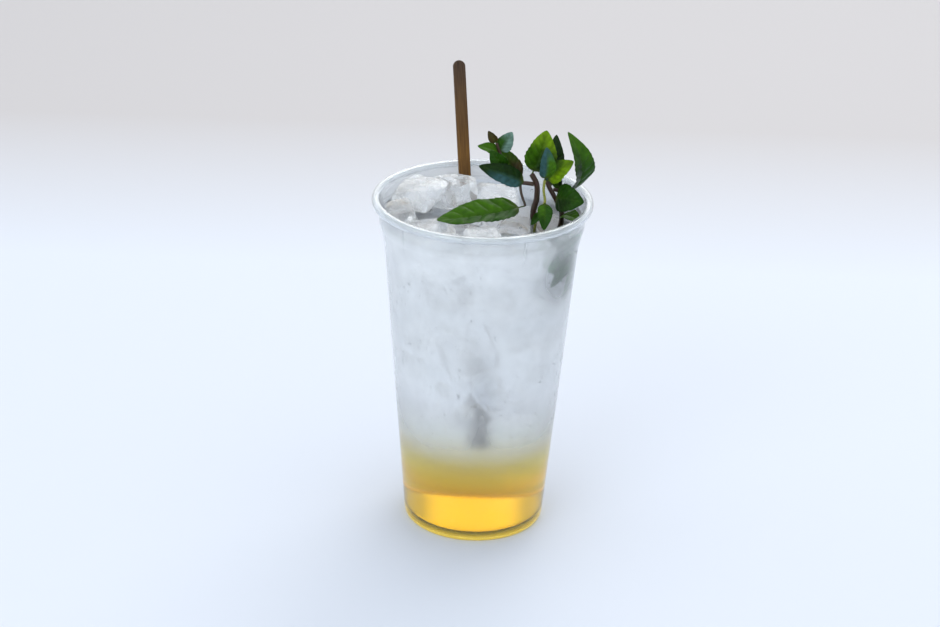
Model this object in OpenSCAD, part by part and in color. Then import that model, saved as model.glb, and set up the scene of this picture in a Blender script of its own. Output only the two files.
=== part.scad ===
// Mojito cocktail in a clear disposable cup, with a wooden stirrer, ice and a mint sprig.
// Millimetres. The origin is the centre of the cup's foot, +Z is up and -Y is the front.

/* [Cup] */
// Height of the cup, from the table to the top of the rolled rim
cup_h = 151.6; // [125:0.1:190]
// Diameter over the rolled rim
rim_d = 95; // [79:0.5:115]
// Diameter of the foot
base_d = 62; // [50:0.5:72]
// Diameter of the wall where the taper ends, under the shoulder
neck_d = 83; // [70:0.5:100]
// Wall thickness
wall = 0.7; // [0.5:0.05:1.2]
// Diameter of the rolled rim's section
roll_d = 3.6; // [3:0.1:5]
// Angle through which the rolled rim curls, from the inner wall over the top
roll_turn = 250; // [200:5:260]
// Height of the straight collar, rim included
collar_h = 11.5; // [9:0.5:16]
// Height of the shoulder between the taper and the collar
shoulder_h = 12.5; // [8:0.5:18]
// How far the collar widens from its lower edge to the rim
collar_flare = 0.5; // [0.2:0.1:1]
// Radius of the outer corner at the foot
corner_r = 1.6; // [1.3:0.1:2.5]
// Width of the ring that the cup stands on, corner included
foot_w = 4.5; // [3.5:0.1:6]
// Height of the recess under the cup
recess_h = 2.4; // [1:0.1:4]
// Number of upright ribs round the collar, which keep stacked cups apart
ribs = 5; // [3:1:9]
// Radius of each rib
rib_r = 0.5; // [0.3:0.05:0.5]
// Turn of the first rib from the right-hand side
rib_turn = -66; // [-180:1:180]

/* [Drink] */
// Distance from the top of the rim down to the surface of the drink
fill_gap = 10; // [6:0.5:20]
// Height of the amber syrup layer above the table
syrup_h = 30; // [18:1:60]

/* [Ice] */
// Bevel along the edges of the ice blocks
ice_bevel = 2.6; // [1:0.1:4]
// Space between neighbouring ice blocks, and between ice and wall
ice_gap = 0.4; // [0.2:0.05:0.8]

/* [Stirrer] */
// Length of the wooden stirrer
stick_len = 170; // [145:1:205]
// Width of the stirrer
stick_w = 5.4; // [4:0.1:7]
// Thickness of the stirrer
stick_t = 1.4; // [1:0.1:2]
// Height of the stirrer's lower end above the table
stick_foot_h = 30; // [15:1:40]
// Distance from the inner wall to the stirrer's centre, at the lower end
stick_foot_gap = 14.5; // [8:0.5:20]
// Distance from the inner wall to the stirrer's centre, at the neck
stick_top_gap = 6.4; // [5:0.1:12]
// Sideways place of the stirrer's lower end
stick_foot_x = 1.3; // [-6:0.1:6]
// Sideways lean of the stirrer, towards -X
stick_lean = 4.6; // [0:0.1:8]
// Turn of the stirrer's broad face about its own length
stick_turn = 14; // [-40:1:40]

/* [Mint] */
// Distance from the inner wall at the neck to the place where the main stem leaves the drink
mint_inset = 18.9; // [12:0.1:26]
// Place of the main stem behind the middle of the cup
mint_back = 2; // [-6:0.5:8]
// Radius of the thickest stem
stem_r = 1.4; // [0.8:0.05:1.6]
// Thickness of a leaf along its midrib
leaf_t = 0.6; // [0.4:0.05:1]
// Thickness of a leaf at its edge
leaf_edge_t = 0.3; // [0.2:0.05:0.4]
// Width of a leaf's stalk
stalk_w = 0.7; // [0.5:0.05:0.8]
// Share of a leaf's length that is its stalk
stalk_share = 0.08; // [0.04:0.01:0.16]
// Power that sets where a leaf is widest: 1 is its middle, less is nearer to its stalk
leaf_belly = 0.68; // [0.5:0.02:1]
// Power that sets how full a leaf's outline is: less is fuller
leaf_fullness = 0.75; // [0.5:0.05:1]
// Width of a leaf at its very tip
tip_w = 0.4; // [0.3:0.05:0.8]
// Depth of the fold along a leaf's midrib, for each millimetre of half width
leaf_fold = 0.28; // [0:0.02:0.5]

/* [Hidden] */
LEAVES = 17;
STEMS = 6;
BLOCKS = 9;
$fn = 96;
eps = 0.01;

rim_r = rim_d / 2;
base_r = base_d / 2;
neck_r = neck_d / 2;
roll_r = roll_d / 2;
roll_x = rim_r - roll_r;
roll_z = cup_h - roll_r;
neck_z = cup_h - collar_h - shoulder_h;
collar_z = cup_h - collar_h;
collar_top_r = rim_r - roll_d + wall;
collar_low_r = collar_top_r - collar_flare;
taper = (neck_r - base_r) / neck_z;
foot_in_r = base_r - foot_w;
recess_r = foot_in_r - recess_h / 2;
floor_z = recess_h + wall;
level = cup_h - fill_gap;
ice_low_z = level / 2;
outline_steps = 10;

// Outer radius of the wall: a straight taper, a shoulder that curves out as a parabola, a collar
shoulder_curve = (collar_low_r - neck_r - taper * shoulder_h) / pow(shoulder_h, 2);
function outer_r(z) =
    z <= neck_z ? base_r + taper * z :
    z <= collar_z ? neck_r + taper * (z - neck_z) + shoulder_curve * pow(z - neck_z, 2) :
    collar_low_r + collar_flare * (z - collar_z) / (roll_z - collar_z);
function inner_r(z) = outer_r(z) - wall;

// Heights at which the wall's outline has a point, from z0 to z1
function wall_heights(z0, z1) = concat(
    [z0],
    [for (i = [0 : outline_steps]) let (z = neck_z + shoulder_h * i / outline_steps)
        if (z > z0 + eps && z < z1 - eps) z],
    [z1]);

// Rounded corner between the foot and the wall, as a quarter turn of radius r about one centre
function corner(r) = [for (i = [0 : outline_steps]) let (a = -90 + 90 * i / outline_steps)
    [base_r - corner_r + r * cos(a), corner_r + r * sin(a)]];

// Half section of the cup's inside from the floor up, ending at height z
function inside_outline(z) = concat(
    [[0, floor_z], [recess_r + wall / 2, floor_z], [foot_in_r + wall / 2, wall]],
    corner(corner_r - wall),
    [for (h = wall_heights(2 * corner_r, z)) [inner_r(h), h]]);

function outside_outline() = concat(
    [[0, recess_h], [recess_r, recess_h], [foot_in_r, 0]],
    corner(corner_r),
    [for (h = wall_heights(2 * corner_r, roll_z)) [outer_r(h), h]]);

function unit(v) = v / norm(v);
function reversed(v) = [for (i = [len(v) - 1 : -1 : 0]) v[i]];

// ---- Cup ----

module rolled_rim() {
    rest = 360 - roll_turn;
    translate([roll_x, roll_z])
        difference() {
            circle(roll_r);
            circle(roll_r - wall);
            polygon([[0, 0], [-roll_d, 0], [-roll_d, -roll_d], [roll_d * cos(180 + rest), -roll_d]]);
        }
}

module rib(turn) {
    tilt = atan(collar_flare / (roll_z - collar_z));
    rotate([0, 0, turn])
        translate([collar_low_r - rib_r / 4, 0, collar_z])
            rotate([0, tilt, 0])
                cylinder(r = rib_r, h = roll_z - roll_r - collar_z, $fn = 24);
}

module cup() {
    color("white", 0.35) {
        rotate_extrude() {
            polygon(concat(outside_outline(), reversed(inside_outline(roll_z))));
            rolled_rim();
        }
        for (i = [0 : ribs - 1])
            rib(i * 360 / ribs + rib_turn);
    }
}

// ---- Drink ----

// The space inside the cup between two heights, drawn in from the wall by a gap
module inside(z0, z1, gap = 0) {
    rotate_extrude()
        polygon(concat([[0, z0]],
            [for (h = wall_heights(z0, z1)) [inner_r(h) - gap, h]],
            [[0, z1]]));
}

module syrup() {
    color("goldenrod", 0.8)
        difference() {
            rotate_extrude()
                polygon(concat(inside_outline(syrup_h), [[0, syrup_h]]));
            stick_body();
        }
}

module soda() {
    color("lightcyan", 0.5)
        difference() {
            inside(syrup_h, level);
            for (i = [0 : BLOCKS - 1])
                ice_place(i);
            stick_body();
            for (s = sunk_stems)
                tube(stem_path(s), stem_radii(s));
        }
}

// ---- Ice ----

// Each block: turn about the cup's axis, distance of its middle from the inner wall, height of its
// middle over the drink's surface, its three sides, and its own rotation
ice_blocks = [
    [147, 10.5, 4.5, [18, 16, 23], [52, -30, 20]],
    [118, 16.5, 0.5, [19, 16, 21], [14, 22, 28]],
    [211, 15.0, -7.8, [20, 19, 19], [12, 8, 40]],
    [183, 9.5, -3.5, [13, 17, 19], [-8, 12, 6]],
    [243, 9.0, -5.5, [17, 13, 18], [16, 10, -24]],
    [274, 17.0, -6.5, [25, 16, 18], [4, 3, 6]],
    [306, 9.0, -5.5, [15, 13, 17], [-12, 14, 38]],
    [75, 20.0, -5.0, [22, 19, 18], [6, -5, 18]],
    [190, 37.0, -8.0, [17, 16, 18], [5, 6, -12]],
];

module ice_block(sides, grow = 0) {
    x = sides[0] + grow;
    y = sides[1] + grow;
    z = sides[2] + grow;
    long = x + y + z;
    intersection() {
        cube([x, y, z], center = true);
        rotate([45, 0, 0])
            cube([long, (y + z) / sqrt(2) - ice_bevel, (y + z) / sqrt(2) - ice_bevel], center = true);
        rotate([0, 45, 0])
            cube([(x + z) / sqrt(2) - ice_bevel, long, (x + z) / sqrt(2) - ice_bevel], center = true);
        rotate([0, 0, 45])
            cube([(x + y) / sqrt(2) - ice_bevel, (x + y) / sqrt(2) - ice_bevel, long], center = true);
    }
}

module ice_place(i, grow = 0) {
    b = ice_blocks[i];
    rotate([0, 0, b[0]])
        translate([inner_r(level) - b[1], 0, level + b[2]])
            rotate(b[4])
                ice_block(b[3], grow);
}

module ice(i) {
    color("white", 0.6)
        difference() {
            intersection() {
                ice_place(i);
                inside(ice_low_z, roll_z, ice_gap);
            }
            for (j = [0 : 1 : i - 1])
                ice_place(j, 2 * ice_gap);
            stick_body();
            for (s = sunk_stems)
                tube(stem_path(s), stem_radii(s));
        }
}

// ---- Stirrer ----

stick_foot = [stick_foot_x, inner_r(stick_foot_h) - stick_foot_gap, stick_foot_h];
stick_back = atan((inner_r(neck_z) - stick_top_gap - stick_foot[1]) / (neck_z - stick_foot_h));

module stick_body() {
    translate(stick_foot)
        rotate([-stick_back, -stick_lean, 0])
            rotate([0, 0, stick_turn])
                rotate([90, 0, 0])
                    linear_extrude(stick_t, center = true) {
                        translate([0, stick_w / 2])
                            circle(stick_w / 2);
                        translate([-stick_w / 2, stick_w / 2])
                            square([stick_w, stick_len - stick_w]);
                        translate([0, stick_len - stick_w / 2])
                            circle(stick_w / 2);
                    }
}

module stirrer() {
    color("saddlebrown")
        stick_body();
}

// ---- Mint ----

// The sprig is laid out from the main stem's foot, on the surface of the drink
mint_foot = [inner_r(neck_z) - mint_inset, mint_back, level];

// Each stem: radius at its lower end, radius at its tip, and the points that it runs through
stems = [
    [1.00, 0.85, [[8, 3, -38], [4.5, 2, -18], [0, 0, 0], [1.2, 0, 9], [1, 0, 15.2], [-1.3, 0, 20]]],
    [0.70, 0.45, [[-0.4, 0, 15.6], [-3.4, 0, 15.9], [-6.3, 0, 16.4], [-9.6, 0.5, 19], [-12.5, 1, 22.3],
        [-15.2, 2, 28.5], [-16.7, 2, 32.9]]],
    [0.85, 0.70, [[10, 4, -26], [12, 3, -12], [12.3, 2, 1], [11.4, 1.8, 4.5], [8.9, 1, 9.5],
        [6.8, 0.9, 13.2], [5.2, 1, 16.5]]],
    [0.45, 0.40, [[0.3, -10.5, -6], [0.9, -10, 2.6], [2.9, -9, 6.4], [4.5, -8, 10.6], [3.8, -7, 15.7],
        [4.1, -7, 20]]],
    [0.45, 0.40, [[-6.1, -0.9, 15.5], [-5.5, -2.4, 12], [-3.6, -4.2, 7.2]]],
    [0.60, 0.55, [[8.4, 1.45, 12.8], [11, 2.5, 11.8], [15.4, 4, 10.6]]],
];
sunk_stems = [0, 2, 3];
stem_sides = 8;
stem_steps = 3;
tube_side = [0.3, 1, 0.1];

// Each leaf: stem, place along the stem's points, tip, direction that its face looks, width, bow
leaves = [
    [0, 5, [4.6, 6, 37.8], [0.35, -1, 0.35], 14.5, 2],
    [3, 5, [4.4, -6, 34.5], [0.4, -1, 0.2], 8, 1.5],
    [5, 2, [13.4, 1, 39.2], [0.85, -0.8, 0.1], 13.5, 7.5],
    [2, 5, [9, 13, 33.5], [0.3, -1, 0.2], 9.5, 1],
    [2, 6, [16.2, 0, 26.5], [-0.1, -0.9, 0.9], 10, 1.5],
    [2, 4, [21.2, -5.5, 10], [-0.1, -1, 0.5], 13, 2],
    [2, 2, [20, -6.5, 1.7], [0, -0.4, 1], 8, 0.8],
    [3, 3, [4.3, -16.8, 1.2], [0.1, -0.7, 0.7], 7, 1],
    [3, 2, [-1, -11.2, 1.2], [0, -1, 0.5], 3.4, 0.3],
    [4, 2, [-41.1, -16.5, 4.4], [0, -0.3, 1], 17, -1.2],
    [1, 1, [-24, -4.5, 24.8], [0, -1, 0.7], 9.5, 0.6],
    [1, 4, [-19.2, -1, 30.6], [-0.2, -1, 0.1], 8, 1],
    [1, 2, [-14.5, 5, 30], [0.5, -1, 0.1], 9.5, -1],
    [1, 5, [-24.7, 1.5, 31.6], [0, -0.6, 1], 6, 0.6],
    [1, 5, [-10.2, 4.5, 37.2], [-0.2, -1, 0.3], 7.5, 0.8],
    [1, 6, [-20.4, 2, 38.2], [-0.3, -1, 0.3], 4.2, 0.4],
    [5, 1, [5.5, 10, 22], [0.2, -1, 0.5], 5.5, 1.5],
];
leaf_rows = 12;
leaf_cols = 4;

// Catmull-Rom curve through the points p, with n steps from each point to the next
function spline_point(p, i, t) = let (
    a = p[max(i - 1, 0)],
    b = p[i],
    c = p[i + 1],
    d = p[min(i + 2, len(p) - 1)])
    0.5 * (2 * b + (c - a) * t + (2 * a - 5 * b + 4 * c - d) * pow(t, 2)
        + (3 * b - a - 3 * c + d) * pow(t, 3));
function spline(p, n) = concat(
    [for (i = [0 : len(p) - 2], k = [0 : n - 1]) spline_point(p, i, k / n)],
    [p[len(p) - 1]]);

function stem_path(s) = [for (q = spline(stems[s][2], stem_steps)) mint_foot + q];
function stem_radii(s) = let (n = (len(stems[s][2]) - 1) * stem_steps, k = stem_r / stems[0][0])
    [for (i = [0 : n]) k * (stems[s][0] + (stems[s][1] - stems[s][0]) * i / n)];

// A tube with a ring of corners round each point of the path
module tube(path, radii) {
    last = len(path) - 1;
    rings = [for (i = [0 : last]) let (
        along = unit(path[min(i + 1, last)] - path[max(i - 1, 0)]),
        side = unit(cross(along, tube_side)),
        other = cross(along, side))
        for (k = [0 : stem_sides - 1]) let (a = 360 * k / stem_sides)
            path[i] + radii[i] * (cos(a) * side + sin(a) * other)];
    walls = [for (i = [0 : last - 1], k = [0 : stem_sides - 1]) let (
        a = i * stem_sides + k,
        b = i * stem_sides + (k + 1) % stem_sides)
        for (f = [[a, b + stem_sides, b], [a, a + stem_sides, b + stem_sides]]) f];
    ends = [[for (k = [0 : stem_sides - 1]) k],
        [for (k = [stem_sides - 1 : -1 : 0]) last * stem_sides + k]];
    polyhedron(rings, concat(walls, ends));
}

module mint_stem(s) {
    color("darkolivegreen")
        tube(stem_path(s), stem_radii(s));
}

// Half width of a leaf at the share s of its length: a stalk, an oval blade and a pointed tip
function blade(s) = max(0, s - stalk_share) / (1 - stalk_share);
function leaf_half(s, w) = (stalk_w * (1 - s) + tip_w * s) / 2
    + (w - stalk_w) / 2 * pow(abs(sin(180 * pow(blade(s), leaf_belly))), leaf_fullness);

// Thickness of a leaf at the share t from its midrib to its edge
function leaf_half_t(t) = (leaf_t + (leaf_edge_t - leaf_t) * abs(t)) / 2;

module leaf_blade(base, tip, face, w, bow) {
    along = unit(tip - base);
    up = unit(face - (face * along) * along);
    side = cross(up, along);
    long = norm(tip - base);
    cols = leaf_cols + 1;
    function sheet(sign) = [for (i = [0 : leaf_rows], j = [0 : leaf_cols]) let (
        s = i / leaf_rows,
        t = 2 * j / leaf_cols - 1,
        half = leaf_half(s, w),
        rise = 4 * bow * s * (1 - s) + leaf_fold * half * abs(t) * sin(180 * s))
        base + along * long * s + side * half * t + up * (rise + sign * leaf_half_t(t))];
    n = (leaf_rows + 1) * cols;
    cells = [for (i = [0 : leaf_rows - 1], j = [0 : leaf_cols - 1]) i * cols + j];
    upper = [for (a = cells, f = [[a, a + 1, a + cols + 1], [a, a + cols + 1, a + cols]]) f];
    lower = [for (f = upper) [n + f[2], n + f[1], n + f[0]]];
    rim = concat(
        [for (j = [0 : leaf_cols]) j],
        [for (i = [1 : leaf_rows]) i * cols + leaf_cols],
        [for (j = [leaf_cols - 1 : -1 : 0]) leaf_rows * cols + j],
        [for (i = [leaf_rows - 1 : -1 : 1]) i * cols]);
    edge = [for (k = [0 : len(rim) - 1]) let (a = rim[k], b = rim[(k + 1) % len(rim)])
        for (f = [[b, a, n + a], [b, n + a, n + b]]) f];
    polyhedron(concat(sheet(1), sheet(-1)), concat(upper, lower, edge));
}

module mint_leaf(i) {
    l = leaves[i];
    color("green")
        difference() {
            leaf_blade(mint_foot + stems[l[0]][2][l[1]], mint_foot + l[2], l[3], l[4], l[5]);
            tube(stem_path(l[0]), stem_radii(l[0]));
        }
}

cup();
syrup();
soda();
stirrer();
for (i = [1 : BLOCKS]) ice(i - 1);
for (i = [1 : STEMS]) mint_stem(i - 1);
for (i = [1 : LEAVES]) mint_leaf(i - 1);
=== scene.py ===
"""A mojito in a clear disposable cup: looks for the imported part.

Lengths are in millimetres until the meshes are made.
"""
import math
import bpy
import bmesh
import numpy as np
from mathutils import Matrix, Vector, noise


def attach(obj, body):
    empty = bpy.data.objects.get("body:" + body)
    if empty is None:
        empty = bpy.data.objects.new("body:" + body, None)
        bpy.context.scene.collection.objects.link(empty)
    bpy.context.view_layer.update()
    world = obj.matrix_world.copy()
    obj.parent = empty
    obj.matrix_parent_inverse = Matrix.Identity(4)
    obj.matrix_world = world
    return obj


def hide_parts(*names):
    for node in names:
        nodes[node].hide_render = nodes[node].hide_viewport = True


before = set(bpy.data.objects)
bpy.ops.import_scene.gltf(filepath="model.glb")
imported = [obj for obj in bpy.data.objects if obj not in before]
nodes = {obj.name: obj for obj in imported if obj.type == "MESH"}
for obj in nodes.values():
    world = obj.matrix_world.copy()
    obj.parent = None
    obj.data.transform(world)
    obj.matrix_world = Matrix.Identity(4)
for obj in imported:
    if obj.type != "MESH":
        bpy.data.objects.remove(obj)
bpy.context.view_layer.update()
scene = bpy.context.scene
MM = 0.001

# ---------------------------------------------------------------- sizes, as in the part
CUP_H, RIM_D, BASE_D, NECK_D = 151.6, 95.0, 62.0, 83.0
WALL, ROLL_D, ROLL_TURN = 0.7, 3.6, 250
COLLAR_H, SHOULDER_H, COLLAR_FLARE = 11.5, 12.5, 0.5
CORNER_R, FOOT_W, RECESS_H = 1.6, 4.5, 2.4
RIBS, RIB_R, RIB_TURN = 5, 0.5, -66
FILL_GAP, SYRUP_H = 10.0, 30.0
STICK_LEN, STICK_W, STICK_T = 170.0, 5.4, 1.4
STICK_FOOT_H, STICK_FOOT_GAP, STICK_TOP_GAP = 30.0, 14.5, 6.4
STICK_FOOT_X, STICK_LEAN, STICK_TURN = 1.3, 4.6, 14.0
MINT_INSET, MINT_BACK, STEM_R = 18.9, 2.0, 1.4
LEAF_T, LEAF_EDGE_T, STALK_W, STALK_SHARE, TIP_W, LEAF_FOLD = 0.42, 0.2, 0.7, 0.08, 0.3, 0.28
LEAF_BELLY, LEAF_FULLNESS = 0.68, 0.75

RIM_R, BASE_R, NECK_R, ROLL_R = RIM_D / 2, BASE_D / 2, NECK_D / 2, ROLL_D / 2
ROLL_X, ROLL_Z = RIM_R - ROLL_R, CUP_H - ROLL_R
NECK_Z, COLLAR_Z = CUP_H - COLLAR_H - SHOULDER_H, CUP_H - COLLAR_H
COLLAR_TOP_R = RIM_R - ROLL_D + WALL
COLLAR_LOW_R = COLLAR_TOP_R - COLLAR_FLARE
TAPER = (NECK_R - BASE_R) / NECK_Z
FOOT_IN_R = BASE_R - FOOT_W
RECESS_R = FOOT_IN_R - RECESS_H / 2
FLOOR_Z = RECESS_H + WALL
LEVEL = CUP_H - FILL_GAP
CURVE = (COLLAR_LOW_R - NECK_R - TAPER * SHOULDER_H) / SHOULDER_H ** 2

# ---------------------------------------------------------------- sizes of the looks alone
LOOK_H = 150.0  # the height that the colour ramps up the cup are shares of
WALL_STEP, ROLL_STEPS, CORNER_STEPS = 2.5, 34, 10
DRINK_REACH = 0.12  # how far the drink reaches into the wall, so that no gap shows
MENISCUS_RISE, MENISCUS_REACH = 1.1, 3.2
ICE_VOXEL, SUNK_ROUND, SUNK_GAP, CLOUD_GAP = 0.55, 3.4, 2.6, 1.6
WALL_BUBBLES, RISING_BUBBLES, SURFACE_BUBBLES, BEADS = 260, 160, 150, 900


def outer_r(z):
    if z <= NECK_Z:
        return BASE_R + TAPER * z
    if z <= COLLAR_Z:
        return NECK_R + TAPER * (z - NECK_Z) + CURVE * (z - NECK_Z) ** 2
    return COLLAR_LOW_R + COLLAR_FLARE * (z - COLLAR_Z) / (ROLL_Z - COLLAR_Z)


def inner_r(z):
    return outer_r(z) - WALL


MINT_FOOT = np.array([inner_r(NECK_Z) - MINT_INSET, MINT_BACK, LEVEL])


# ---------------------------------------------------------------- mesh helpers
def new_object(name, verts, faces, material, smooth=True):
    mesh = bpy.data.meshes.new(name)
    mesh.from_pydata((np.asarray(verts, float) * MM).tolist(), [], [tuple(map(int, f)) for f in faces])
    mesh.validate()
    mesh.update()
    if smooth:
        mesh.shade_smooth()
    ob = bpy.data.objects.new(name, mesh)
    scene.collection.objects.link(ob)
    mesh.materials.append(material)
    return ob


def coords(ob):
    co = np.empty(len(ob.data.vertices) * 3)
    ob.data.vertices.foreach_get("co", co)
    return co.reshape(-1, 3) / MM


def set_coords(ob, co):
    ob.data.vertices.foreach_set("co", (co * MM).ravel())
    ob.data.update()


def normals(ob):
    n = np.empty(len(ob.data.vertices) * 3)
    ob.data.vertices.foreach_get("normal", n)
    return n.reshape(-1, 3)


def paint(ob, name, values):
    """A colour or number for each vertex, which the material reads."""
    values = np.asarray(values, float)
    if values.ndim == 1:
        ob.data.attributes.new(name, "FLOAT", "POINT").data.foreach_set("value", values)
    else:
        rgba = np.c_[values, np.ones(len(values))]
        ob.data.attributes.new(name, "FLOAT_COLOR", "POINT").data.foreach_set("color", rgba.ravel())


def rough(points, size, seed=0.0):
    """Smooth noise from -1 to 1 at each point; size is the length of its waves."""
    out = np.empty(len(points))
    for i, p in enumerate(np.asarray(points) / size + seed * 17.3):
        out[i] = noise.noise(Vector(p))
    return out


def applied(ob):
    """Its modifiers become part of the object's mesh."""
    deps = bpy.context.evaluated_depsgraph_get()
    mesh = bpy.data.meshes.new_from_object(ob.evaluated_get(deps))
    ob.modifiers.clear()
    old = ob.data
    ob.data = mesh
    bpy.data.meshes.remove(old)


def join_meshes(name, parts, material):
    """One object from a list of (vertices, faces)."""
    verts, faces, start = [], [], 0
    for v, f in parts:
        verts.append(np.asarray(v))
        faces += [[i + start for i in g] for g in f]
        start += len(v)
    return new_object(name, np.concatenate(verts), faces, material)


def finish_piece(ob, slot, *replaced):
    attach(ob, "root")
    if replaced:
        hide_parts(*replaced)


def revolve(name, profile, angles, material, radius_add=None):
    """A closed solid turned from a profile that starts and ends on the axis."""
    angles = np.radians(angles)
    n = len(angles)
    verts, rows = [], []
    for r, z in profile:
        if r < 1e-6:
            rows.append([len(verts)])
            verts.append([0, 0, z])
        else:
            rows.append(list(range(len(verts), len(verts) + n)))
            rr = np.full(n, r) if radius_add is None else r + radius_add(r, z, angles)
            verts += np.c_[rr * np.cos(angles), rr * np.sin(angles), np.full(n, z)].tolist()
    faces = []
    for a, b in zip(rows, rows[1:]):
        for k in range(n):
            m = (k + 1) % n
            if len(a) == 1 and len(b) == 1:
                continue
            if len(a) == 1:
                faces.append([a[0], b[m], b[k]])
            elif len(b) == 1:
                faces.append([a[k], a[m], b[0]])
            else:
                faces.append([a[k], a[m], b[m], b[k]])
    return new_object(name, verts, faces, material)


# ---------------------------------------------------------------- material helpers
def material(name):
    m = bpy.data.materials.new(name)
    m.use_nodes = True
    t = m.node_tree
    t.nodes.clear()
    out = t.nodes.new("ShaderNodeOutputMaterial")
    shader = t.nodes.new("ShaderNodeBsdfPrincipled")
    t.links.new(shader.outputs[0], out.inputs["Surface"])
    return m, t, shader


def put(shader, **values):
    for k, v in values.items():
        s = shader.inputs[k.replace("_", " ")]
        s.default_value = (*v, 1.0) if s.type == "RGBA" else v


def node(t, kind, **values):
    n = t.nodes.new(kind)
    for k, v in values.items():
        if k in n.inputs.keys():
            n.inputs[k].default_value = v
        elif hasattr(n, k):
            setattr(n, k, v)
        else:
            n.inputs[k.replace("_", " ")].default_value = v
    return n


def ramp(t, source, stops):
    r = t.nodes.new("ShaderNodeValToRGB")
    el = r.color_ramp.elements
    while len(el) < len(stops):
        el.new(0.5)
    for e, (p, c) in zip(el, stops):
        e.position = p
        e.color = (*c, 1.0) if isinstance(c, (tuple, list)) else (c, c, c, 1.0)
    t.links.new(source, r.inputs[0])
    return r.outputs["Color"]


def own_place(t):
    """The place on the object, in metres."""
    return node(t, "ShaderNodeTexCoord").outputs["Object"]


def share_along(t, place, axis, start, end):
    """The share of the way from start to end, in metres, along an axis."""
    sep = node(t, "ShaderNodeSeparateXYZ")
    t.links.new(place, sep.inputs[0])
    mr = node(t, "ShaderNodeMapRange")
    mr.inputs[1].default_value, mr.inputs[2].default_value = start, end
    t.links.new(sep.outputs[axis], mr.inputs[0])
    return mr.outputs[0]


def height(t, place):
    return share_along(t, place, "Z", 0.0, LOOK_H * MM)


def texture(t, place, size, detail, roughness=0.5):
    """Noise with waves of that many millimetres."""
    n = node(t, "ShaderNodeTexNoise", Scale=1.0 / (size * MM), Detail=detail, Roughness=roughness)
    t.links.new(place, n.inputs["Vector"])
    return n.outputs["Fac"]


def bump(t, shader, heights, distance, strength):
    b = node(t, "ShaderNodeBump", Strength=strength, Distance=distance * MM)
    t.links.new(heights, b.inputs["Height"])
    t.links.new(b.outputs[0], shader.inputs["Normal"])


def mixed(t, factor, a, b, blend="MIX"):
    m = node(t, "ShaderNodeMix", data_type="RGBA", blend_type=blend)
    for socket, v in ((m.inputs[0], factor), (m.inputs[6], a), (m.inputs[7], b)):
        if isinstance(v, bpy.types.NodeSocket):
            t.links.new(v, socket)
        elif isinstance(v, (tuple, list)):
            socket.default_value = (*v, 1.0)
        else:
            socket.default_value = v
    return m.outputs[2]


def value(t, operation, a, b=0.0):
    m = node(t, "ShaderNodeMath", operation=operation)
    for socket, v in ((m.inputs[0], a), (m.inputs[1], b)):
        if isinstance(v, bpy.types.NodeSocket):
            t.links.new(v, socket)
        else:
            socket.default_value = v
    return m.outputs[0]


# ---------------------------------------------------------------- materials
# Roughness and mist of the cup, and colour and painted shade of the drink, against the share of LOOK_H
CUP_HAZE = [
    (0.0, 0.04), (0.22, 0.05), (0.32, 0.18), (0.45, 0.2),
    (0.84, 0.2), (0.93, 0.1), (0.97, 0.05), (1.0, 0.04),
]
CUP_VEIL = [
    (0.0, 0.0), (0.2, 0.0), (0.25, 0.05), (0.3, 0.25), (0.36, 0.36), (0.46, 0.56),
    (0.84, 0.58), (0.93, 0.56), (0.955, 0.4), (0.985, 0.3), (1.0, 0.22),
]
# Above the syrup the tint turns dark grey from 0.25 to 0.41. Part of this is the syrup's tan mixing upwards,
# and part is painted shade for the shadowed floor seen through the drink
DRINK_TINT_AND_SHADE = [
    (0.0, (1.0, 0.80, 0.22)), (0.028, (1.0, 0.88, 0.3)), (0.045, (1.0, 0.97, 0.6)),
    (0.13, (1.0, 0.97, 0.66)), (0.165, (0.82, 0.70, 0.30)), (0.205, (0.64, 0.62, 0.38)),
    (0.25, (0.43, 0.39, 0.30)), (0.287, (0.35, 0.315, 0.28)), (0.327, (0.38, 0.365, 0.38)),
    (0.37, (0.56, 0.56, 0.59)), (0.41, (0.80, 0.805, 0.82)), (0.5, (0.985, 0.99, 0.995)),
    (1.0, (0.99, 0.995, 1.0)),
]


def cup_material():
    m, t, s = material("cup_plastic")
    put(s, IOR=1.49)
    place = own_place(t)
    h = height(t, place)
    haze = ramp(t, h, CUP_HAZE)
    spots = texture(t, place, 1.1, 4, 0.6)
    cloud = texture(t, place, 14, 3, 0.5)
    r = value(t, "MULTIPLY", haze, value(t, "ADD", 0.55, value(t, "MULTIPLY", cloud, 0.9)))
    t.links.new(r, s.inputs["Roughness"])
    veil = ramp(t, h, CUP_VEIL)
    outer = node(t, "ShaderNodeAttribute", attribute_name="outer")
    drifts = value(t, "ADD", 0.8, value(t, "MULTIPLY", cloud, 0.4))
    veil = value(t, "MULTIPLY", value(t, "MULTIPLY", veil, drifts), outer.outputs["Fac"])
    t.links.new(value(t, "SUBTRACT", 1.0, veil), s.inputs["Transmission Weight"])
    put(s, Base_Color=(0.95, 0.98, 1.0))
    bump(t, s, spots, 0.05, 0.35)
    return m


def drink_material():
    m, t, s = material("drink")
    put(s, IOR=1.333, Roughness=0.0, Transmission_Weight=1.0)
    place = own_place(t)
    h = height(t, place)
    tint = ramp(t, h, DRINK_TINT_AND_SHADE)
    t.links.new(tint, s.inputs["Base Color"])
    # Painted light: below about 3 mm the drink turns partly diffuse yellow and glows, standing in for caustic
    # light gathering in the foot
    t.links.new(ramp(t, h, [(0.010, 0.6), (0.0195, 1.0)]), s.inputs["Transmission Weight"])
    put(s, Emission_Color=(1.0, 0.74, 0.08))
    t.links.new(ramp(t, h, [(0.008, 0.3), (0.0195, 0.0)]), s.inputs["Emission Strength"])
    bump(t, s, texture(t, place, 9, 2, 0.4), 0.25, 0.25)
    return m


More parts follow.
